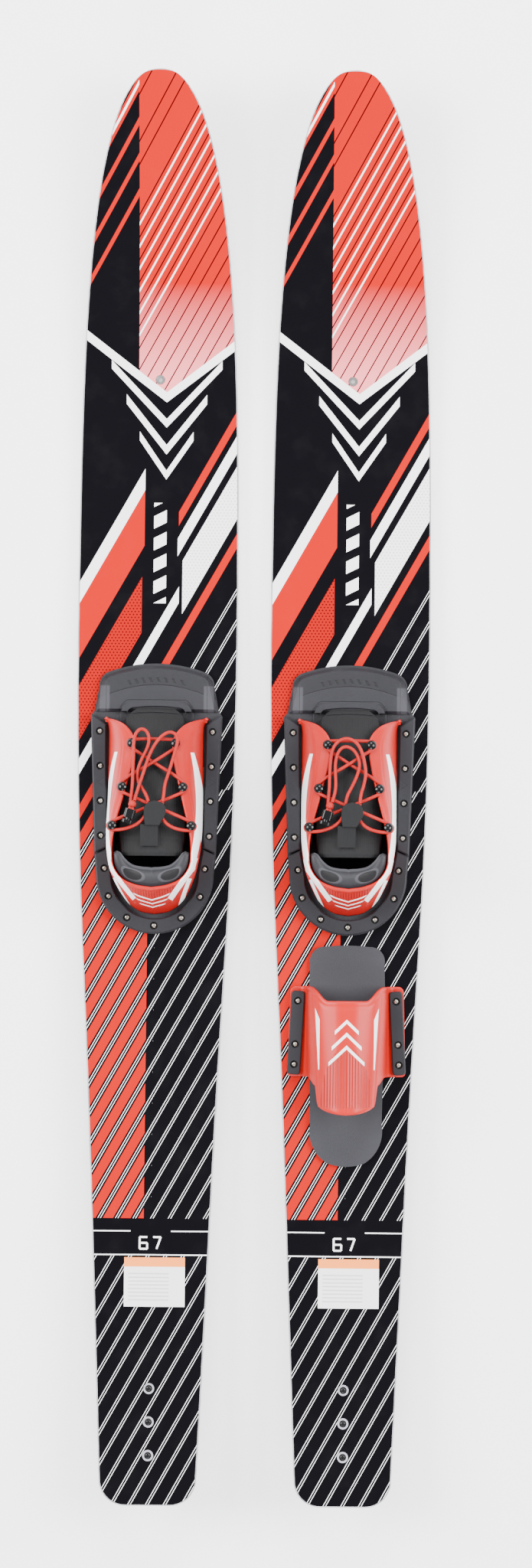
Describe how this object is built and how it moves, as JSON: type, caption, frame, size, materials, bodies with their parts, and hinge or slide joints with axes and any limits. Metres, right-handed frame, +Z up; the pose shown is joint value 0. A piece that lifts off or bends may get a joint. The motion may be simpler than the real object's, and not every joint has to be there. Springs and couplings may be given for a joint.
{
  "type": "water ski pair",
  "caption": "A pair of combination water skis with laced rubber bindings, tail fins, and a rear toe strap for slalom on the right ski.",
  "frame": {"origin": "on the floor, midway between the two skis and midway between their tips and tails", "axes": "+Z up, +Y towards the tips, +X towards the right ski; both skis rest on their fins and forebodies, noses about 2 degrees down"},
  "size_m": [0.421, 1.6918, 0.1287],
  "materials": {
    "core_foam": "moulded foam core with a pale grey rim",
    "deck_print": "glossy printed sheet, red and black with white stripes",
    "base_gloss": "smooth glossy base",
    "steel_eyelet": "satin",
    "fin_plastic": "moulded, semi-gloss",
    "brass_insert": "turned",
    "clear_washer": "clear",
    "black_screw": "black oxide",
    "steel_screw": "plain",
    "grey_eva": "fine moulded texture",
    "black_eva": "soft",
    "grey_nylon": "glass-filled, fine grain",
    "black_nylon": "moulded",
    "red_rubber": "satin moulded",
    "black_neoprene": "ribbed knit over foam",
    "grey_foam": "soft satin foam",
    "red_cord": "braided elastic cord"
  },
  "bodies": {
    "left_ski": {"left_ski_core": "core_foam", "left_top_sheet": "deck_print", "left_base_sheet": "base_gloss", "left_tip_grommet": "steel_eyelet", "left_fin": "fin_plastic", "left_fin_inserts": "brass_insert", "left_fin_washers": "clear_washer", "left_fin_screws": "black_screw", "left_binding_plate": "grey_eva", "left_plate_screws": "steel_screw", "left_plate_inserts": "brass_insert", "left_footbed": "black_eva", "left_inner_rail": "grey_nylon", "left_outer_rail": "grey_nylon", "left_heel_frame": "grey_nylon", "left_binding_screws": "steel_screw", "left_lace_hooks": "black_nylon", "left_upper": "red_rubber", "left_tongue": "black_neoprene", "left_heel_pad": "grey_foam", "left_lace": "red_cord", "left_lace_ends": "red_cord", "left_lace_knot": "red_cord", "left_lock_body": "black_nylon", "left_lock_spring": "steel_screw", "left_tab": "black_neoprene", "left_tab_strap": "black_neoprene"},
    "right_ski": {"right_ski_core": "core_foam", "right_top_sheet": "deck_print", "right_base_sheet": "base_gloss", "right_tip_grommet": "steel_eyelet", "right_fin": "fin_plastic", "right_fin_inserts": "brass_insert", "right_fin_washers": "clear_washer", "right_fin_screws": "black_screw", "right_binding_plate": "grey_eva", "right_plate_screws": "steel_screw", "right_plate_inserts": "brass_insert", "right_footbed": "black_eva", "right_inner_rail": "grey_nylon", "right_outer_rail": "grey_nylon", "right_heel_frame": "grey_nylon", "right_binding_screws": "steel_screw", "right_lace_hooks": "black_nylon", "right_upper": "red_rubber", "right_tongue": "black_neoprene", "right_heel_pad": "grey_foam", "right_lace": "red_cord", "right_lace_ends": "red_cord", "right_lace_knot": "red_cord", "right_lock_body": "black_nylon", "right_lock_spring": "steel_screw", "right_tab": "black_neoprene", "right_tab_strap": "black_neoprene", "right_rear_pad": "grey_eva", "right_rear_strap": "red_rubber", "right_rear_clamps": "grey_nylon", "right_rear_screws": "steel_screw"},
    "left_lock": {"left_lock_button": "black_nylon"},
    "right_lock": {"right_lock_button": "black_nylon"}
  },
  "joints": [
    {"name": "ski_spread", "type": "slide", "parent": "left_ski", "child": "right_ski", "axis": [1, 0, 0], "range_m": [0, 0.3]},
    {"name": "left_lock_press", "type": "slide", "parent": "left_ski", "child": "left_lock", "axis": [0.289, 0.9567, -0.0344], "range_m": [0, 0.0022], "stiffness_N_per_m": 600, "deforming": ["left_lock_spring"]},
    {"name": "right_lock_press", "type": "slide", "parent": "right_ski", "child": "right_lock", "axis": [0.289, 0.9567, -0.0344], "range_m": [0, 0.0022], "stiffness_N_per_m": 600, "deforming": ["right_lock_spring"]}
  ]
}
